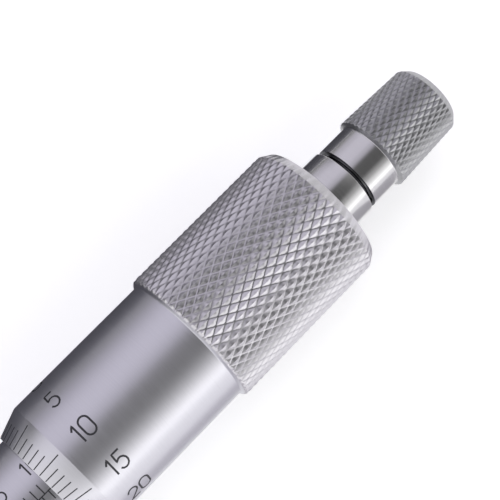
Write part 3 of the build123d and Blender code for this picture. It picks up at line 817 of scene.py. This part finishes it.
class MICROMETER_OT_ratchet_spring(bpy.types.Operator):
    """Coil the spring that presses the ratchet's disc"""

    bl_idname = "micrometer.ratchet_spring"
    bl_label = "Ratchet spring"

    WIRE_RADIUS, COIL_RADIUS, TURNS = 0.3 * MM, 2.85 * MM, 3.5
    STEPS_PER_TURN = 32
    # How far the disc slides back
    TRAVEL = 0.5 * MM

    def execute(self, context):
        low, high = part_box("ratchet_spring")
        start, end = low.x + self.WIRE_RADIUS, high.x - self.WIRE_RADIUS
        wire = bpy.data.curves.new("spring_wire", "CURVE")
        wire.dimensions = "3D"
        wire.bevel_depth = self.WIRE_RADIUS
        wire.use_fill_caps = True
        coil = wire.splines.new("POLY")
        steps = round(self.TURNS * self.STEPS_PER_TURN)
        coil.points.add(steps)
        for i, point in enumerate(coil.points):
            angle = 2 * pi * i / self.STEPS_PER_TURN
            x = start + (end - start) * i / steps
            point.co = (x, self.COIL_RADIUS * cos(angle), self.COIL_RADIUS * sin(angle), 1.0)
        piece = frozen(placed("spring_wire", wire), "coiled_spring", smooth_angle=60)
        piece.data.materials.append(material_for("spring_steel"))
        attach(piece, "ratchet_knob")
        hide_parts("ratchet_spring")
        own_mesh(piece)
        return {"FINISHED"}


class MICROMETER_OT_thimble_scale(bpy.types.Operator):
    """Lay the thimble's lines and numbers on its bevel and barrel"""

    bl_idname = "micrometer.thimble_scale"
    bl_label = "Thimble scale"

    # From the bevel's thin edge to the lines
    LINE_START = 0.1 * MM

    def execute(self, context):
        thimble, scale = context.scene.micrometer_thimble, context.scene.micrometer_scales
        radius = thimble.barrel_radius
        tip = THIMBLE_LOW.x
        division = 2 * pi * radius / scale.divisions
        at_line = (scale.reading_at_rest / scale.pitch) % 1.0 * scale.divisions
        lines, numbers = [], []
        for i in range(scale.divisions):
            # y grows towards +Y on top of the part, and the numbers grow the other way
            y = -ROLL * radius - (i - at_line) * division
            numbered = i % scale.numbered_every == 0
            reach = scale.long_line if numbered else scale.short_line
            lines.append([(tip + self.LINE_START, y), (tip + reach, y)])
            if numbered:
                numbers += number_strokes(str(i), (scale.number_x, y), scale.number_height)
        bevel = ((tip, thimble.bore_radius + thimble.bevel_lip), (tip + thimble.bevel_length, radius))
        for name, strokes, width in (
            ("thimble_lines", lines, scale.line_width), ("thimble_numbers", numbers, scale.number_stroke)
        ):
            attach(marks_piece(name, strokes, width, bevel), "thimble")
        return {"FINISHED"}


class MICROMETER_OT_sleeve_scale(bpy.types.Operator):
    """Lay the sleeve's base line, lines and numbers"""

    bl_idname = "micrometer.sleeve_scale"
    bl_label = "Sleeve scale"

    def execute(self, context):
        scale = context.scene.micrometer_scales
        low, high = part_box("graduated_sleeve")
        radius = high.z
        base = -ROLL * radius
        front, rear = low.x + scale.sleeve_front_gap, high.x - scale.sleeve_rear_gap
        lines, numbers = [[(front, base), (rear, base)]], []
        lines_per_mm = round(MM / scale.pitch)
        for i in range(round((scale.largest - scale.smallest) / scale.pitch) + 1):
            reading = scale.smallest + i * scale.pitch
            x = THIMBLE_LOW.x + scale.reading_at_rest - reading
            whole, fifth = i % lines_per_mm == 0, i % (5 * lines_per_mm) == 0
            reach = (scale.fifth_line if fifth else scale.whole_line) if whole else -scale.half_line
            lines.append([(x, base), (x, base + reach)])
            if fifth:
                middle = (x, base + scale.sleeve_number_gap + scale.sleeve_number_height / 2)
                numbers += number_strokes(str(round(reading / MM)), middle, scale.sleeve_number_height)
        sleeve = ((low.x, radius), (high.x, radius))
        for name, strokes, width in (
            ("sleeve_lines", lines, scale.line_width),
            ("sleeve_numbers", numbers, scale.sleeve_number_stroke),
        ):
            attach(marks_piece(name, strokes, width, sleeve), "frame")
        return {"FINISHED"}


class MICROMETER_OT_finished_pieces(bpy.types.Operator):
    """Ease the edges of the pieces that show, and give every piece its finish"""

    bl_idname = "micrometer.finished_pieces"
    bl_label = "Finished pieces"

    # Piece, its body, and the width of its eased edges in millimetres
    EASED = (
        ("fixed_jaw", "frame", 0.18), ("movable_jaw", "rod", 0.18), ("lock_screw", "lock_screw", 0.06),
        ("graduated_sleeve", "frame", 0.1), ("slide_rod", "rod", 0.08), ("ratchet_base", "thimble", 0.08),
        ("end_washer", "thimble", 0.04), ("end_screw", "thimble", 0.05), ("key_screw", "frame", 0.05),
        ("jaw_pin", "rod", 0.05),
    )
    # The disc's teeth seat in the base's, so the base's inner corners stay sharp
    SEATS = ("ratchet_base",)

    def execute(self, context):
        slots = {row["node"]: row["material_slot"] for row in frame["record"]["subparts"]}
        finish = {**slots, "ratchet_base": "bright_chrome"}
        for node, body, width in self.EASED:
            piece = eased_copy(node, width * MM, inner=node not in self.SEATS)
            piece.data.materials.clear()
            piece.data.materials.append(material_for(finish[node]))
            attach(piece, body)
            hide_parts(node)
        for node, made in frame["nodes"].items():
            for slot in made.material_slots:
                slot.material = material_for(finish[node])
        return {"FINISHED"}


class MICROMETER_OT_studio(bpy.types.Operator):
    """Set the sheet, the camera, the lamps, the cards and the tent"""

    bl_idname = "micrometer.studio"
    bl_label = "Studio"

    # Name, angle from the upright towards -Y, distance and width in metres, strength as radiance
    LAMPS = (
        ("key_soft_box", 50, 0.5, 0.35, 0.9),
        ("overhead_soft_box", -8, 0.6, 0.3, 0.5),
    )
    LAMP_LENGTH = 0.6
    LAMP_AIM = Vector((0.05, 0, 0))
    # The tent around the part, from the sheet on the +Y side over the top to the sheet on the -Y side:
    # degrees from the upright towards -Y, brightness, and how lilac it is. The front is the same all along.
    TENT_FRONT = ((84, 2.1, 0.0), (104, 2.0, 0.0), (122, 0.9, 0.0), (180, 0.9, 0.0))
    TENT = (
        (-180, 0.2, 0.0), (-104, 0.22, 0.0), (-88, 0.36, 0.0), (-68, 0.73, 1.0), (-48, 0.89, 1.0),
        (-22, 0.87, 1.0), (-8, 0.7, 1.0), (8, 0.15, 0.0), (38, 0.14, 0.0), (54, 0.52, 0.0),
        (68, 1.15, 0.0), *TENT_FRONT,
    )
    # The ring nearer the tent's two ends, which the knurls' slanted facets see
    TENT_ENDS = (
        (-180, 0.05, 0.0), (-104, 0.02, 0.0), (-84, 0.02, 0.0), (-68, 0.1, 0.0), (-54, 0.62, 1.0),
        (-38, 0.9, 1.0), (-22, 0.92, 1.0), (-8, 0.86, 1.0), (8, 0.5, 0.0), (34, 0.36, 0.0), (52, 0.65, 0.0),
        (67, 1.15, 0.0), *TENT_FRONT,
    )
    LILAC = (1.0, 0.97, 1.09)
    # Part of a view along X where the first ring is centred, and how far from it the second takes over
    RING_CENTRE, RING_CHANGE = 0.19, (0.2, 0.36)
    # The tent's two ends: where each starts and is whole, as part of a view along X, and its brightness
    TENT_CAPS = ((-0.35, -0.85, 1.25), (0.6, 0.9, 0.85))
    # Cards on the sheet, grey with painted shade of the sheet near the part, seen only in the metal: name,
    # ends along X and edges along Y in metres, the colours at those two edges, and how far the ends drift
    # along X for each metre of Y
    CARDS = (
        ("sheet_shade_card", (-0.2, 0.0875), (0.011, 0.6), ("#525258", "#BCBCC2"), 0.45),
        ("barrel_sheet_shade", (-0.2, 0.055), (-0.013, -0.026), ("#E6E4E9", "#E6E4E9"), 0.215),
        ("neck_sheet_shade", (0.0785, 0.0875), (-0.009, -0.045), ("#D0CED3", "#DCDADF"), 0.215),
    )
    CARD_LIFT = 0.3 * MM
    SHEET_REACH = 3.0

    def execute(self, context):
        self.sheet()
        self.camera(context)
        self.lamps()
        self.cards()
        self.tent(context)
        context.scene.view_settings.view_transform = "Standard"
        return {"FINISHED"}

    def sheet(self):
        """A wide sheet at the height of the part's lowest point."""
        reach = self.SHEET_REACH
        ways = ((-reach, -reach), (reach, -reach), (reach, reach), (-reach, reach))
        corners = [(x, y, FLOOR_Z) for x, y in ways]
        sheet = mesh_object("studio_floor", corners, faces=[(0, 1, 2, 3)])
        sheet.data.materials.append(studio_sheet())

    def camera(self, context):
        """The camera, placed so that a point of the axis falls on its pixel of the picture."""
        studio = context.scene.micrometer_studio
        azimuth, elevation = studio.camera_azimuth, studio.camera_elevation
        right = Vector((cos(azimuth), sin(azimuth), 0))
        flat_view = Vector((-sin(azimuth), cos(azimuth), 0))
        up = flat_view * sin(elevation) + Vector((0, 0, cos(elevation)))
        view = flat_view * cos(elevation) - Vector((0, 0, sin(elevation)))
        data = bpy.data.cameras.new("photo_camera")
        data.sensor_width = 36.0
        data.lens = studio.focal_length
        data.clip_start = 0.005
        focal_pixels = studio.focal_length / data.sensor_width * studio.picture_size
        middle = studio.picture_size / 2
        offset_x = (studio.aim_pixel[0] - middle) / focal_pixels * studio.camera_depth
        offset_y = (middle - studio.aim_pixel[1]) / focal_pixels * studio.camera_depth
        aim = Vector((studio.aim_x, 0, 0))
        camera = placed("photo_camera", data)
        camera.location = aim - view * studio.camera_depth - right * offset_x - up * offset_y
        camera.rotation_euler = view.to_track_quat("-Z", "Y").to_euler()
        context.scene.camera = camera

    def lamps(self):
        """Soft boxes that light the sheet and cast the part's soft shadow. The metal doesn't see them."""
        for name, angle, distance, width, radiance in self.LAMPS:
            data = bpy.data.lights.new(name, "AREA")
            data.shape = "RECTANGLE"
            data.size, data.size_y = self.LAMP_LENGTH, width
            data.energy = radiance * pi * self.LAMP_LENGTH * width
            lamp = placed(name, data)
            away = Vector((0, -sin(radians(angle)), cos(radians(angle))))
            lamp.location = self.LAMP_AIM + away * distance
            lamp.rotation_euler = away.to_track_quat("Z", "Y").to_euler()
            lamp.visible_camera = lamp.visible_glossy = False

    def cards(self):
        """Cards flat on the sheet, which only the metal sees: painted shade of the sheet near the part,
        darker towards it, which gives the metal's bands their lower edges.
        """
        z = FLOOR_Z + self.CARD_LIFT
        for name, ends, (near, far), (near_colour, far_colour), drift in self.CARDS:
            corners = [
                (end + drift * abs(y), y, z)
                for y, row in ((near, ends), (far, ends[::-1])) for end in row
            ]
            card = mesh_object(name, corners, faces=[(0, 1, 2, 3)])
            material, tree = new_material("matt_" + name)
            place = add_node(tree, "ShaderNodeTexCoord").outputs["Object"]
            across = add_node(tree, "ShaderNodeSeparateXYZ", [place]).outputs["Y"]
            way = add_node(tree, "ShaderNodeMapRange", [across, near, far])
            tones = {0: way, 6: linear(near_colour), 7: linear(far_colour)}
            tone = add_node(tree, "ShaderNodeMix", tones, data_type="RGBA")
            close_material(tree, {"Base Color": tone.outputs[2], "Roughness": MATT})
            card.data.materials.append(material)
            card.visible_camera = card.visible_diffuse = card.visible_shadow = False

    def tent(self, context):
        """White sides with a dark stripe over the top, which gives the metal its dark band. The camera sees
        plain white in its place, and the metal sees the tent, so only the camera's rays are parted here."""
        world = bpy.data.worlds.new("studio_tent")
        world.use_nodes = True
        tree = world.node_tree
        tree.nodes.clear()
        way = add_node(tree, "ShaderNodeTexCoord").outputs["Generated"]
        parts = add_node(tree, "ShaderNodeSeparateXYZ", [way]).outputs
        front = add_node(tree, "ShaderNodeMath", [parts["Y"], -1.0], operation="MULTIPLY")
        angle = add_node(tree, "ShaderNodeMath", [front, parts["Z"]], operation="ARCTAN2")
        # Part of the turn from -180 degrees, with the upright halfway
        turn = add_node(tree, "ShaderNodeMath", [angle, 0.5 / pi, 0.5], operation="MULTIPLY_ADD")
        rings = []
        for ring in (self.TENT, self.TENT_ENDS):
            ramp = add_node(tree, "ShaderNodeValToRGB", [turn])
            ramp.color_ramp.interpolation = "EASE"
            elements = ramp.color_ramp.elements
            while len(elements) < len(ring):
                elements.new(0.5)
            for element, (degrees, light, lilac) in zip(elements, ring):
                element.position = degrees / 360 + 0.5
                element.color = [light * (1 + lilac * (tint - 1)) for tint in self.LILAC] + [1.0]
            rings.append(ramp)
        slant = add_node(tree, "ShaderNodeMath", [parts["X"], self.RING_CENTRE], operation="SUBTRACT")
        slant = add_node(tree, "ShaderNodeMath", [slant], operation="ABSOLUTE")
        lit = rings[0]
        caps = [(parts["X"], start, whole, [light] * 3 + [1.0]) for start, whole, light in self.TENT_CAPS]
        for place, start, whole, there in [(slant, *self.RING_CHANGE, rings[1]), *caps]:
            inputs = [place, start, whole]
            change = add_node(tree, "ShaderNodeMapRange", inputs, interpolation_type="SMOOTHSTEP")
            tones = {0: change, 6: lit, 7: there}
            lit = add_node(tree, "ShaderNodeMix", tones, data_type="RGBA").outputs[2]
        tent = add_node(tree, "ShaderNodeBackground", {"Color": lit, "Strength": 1.0})
        white = add_node(tree, "ShaderNodeBackground", {"Color": linear("#FFFFFF"), "Strength": 1.0})
        seen = add_node(tree, "ShaderNodeLightPath").outputs["Is Camera Ray"]
        both = add_node(tree, "ShaderNodeMixShader", [seen, tent, white])
        add_node(tree, "ShaderNodeOutputWorld", {"Surface": both})
        context.scene.world = world


class MICROMETER_PT_panel(bpy.types.Panel):
    """Lists the steps that dress the micrometer"""

    bl_idname = "MICROMETER_PT_panel"
    bl_label = "Inside micrometer"
    bl_space_type = "VIEW_3D"
    bl_region_type = "UI"
    bl_category = "Micrometer"

    def draw(self, context):
        for operator in OPERATORS:
            self.layout.operator(operator.bl_idname)


OPERATORS = (
    MICROMETER_OT_thimble, MICROMETER_OT_ratchet_knob, MICROMETER_OT_ratchet_spring,
    MICROMETER_OT_thimble_scale, MICROMETER_OT_sleeve_scale, MICROMETER_OT_finished_pieces,
    MICROMETER_OT_studio,
)
SETTINGS = {
    "micrometer_thimble": ThimbleSettings, "micrometer_knob": KnobSettings,
    "micrometer_scales": ScaleSettings, "micrometer_finishes": FinishSettings,
    "micrometer_studio": StudioSettings,
}


def register():
    for settings in SETTINGS.values():
        bpy.utils.register_class(settings)
    for operator in OPERATORS:
        bpy.utils.register_class(operator)
    bpy.utils.register_class(MICROMETER_PT_panel)
    for name, settings in SETTINGS.items():
        setattr(bpy.types.Scene, name, bpy.props.PointerProperty(type=settings))


def unregister():
    for name in SETTINGS:
        delattr(bpy.types.Scene, name)
    bpy.utils.unregister_class(MICROMETER_PT_panel)
    for registered in (*OPERATORS, *SETTINGS.values()):
        bpy.utils.unregister_class(registered)


def main():
    register()
    bpy.ops.micrometer.thimble()
    bpy.ops.micrometer.ratchet_knob()
    bpy.ops.micrometer.ratchet_spring()
    bpy.ops.micrometer.thimble_scale()
    bpy.ops.micrometer.sleeve_scale()
    bpy.ops.micrometer.finished_pieces()
    bpy.ops.micrometer.studio()


if __name__ == "__main__":
    main()
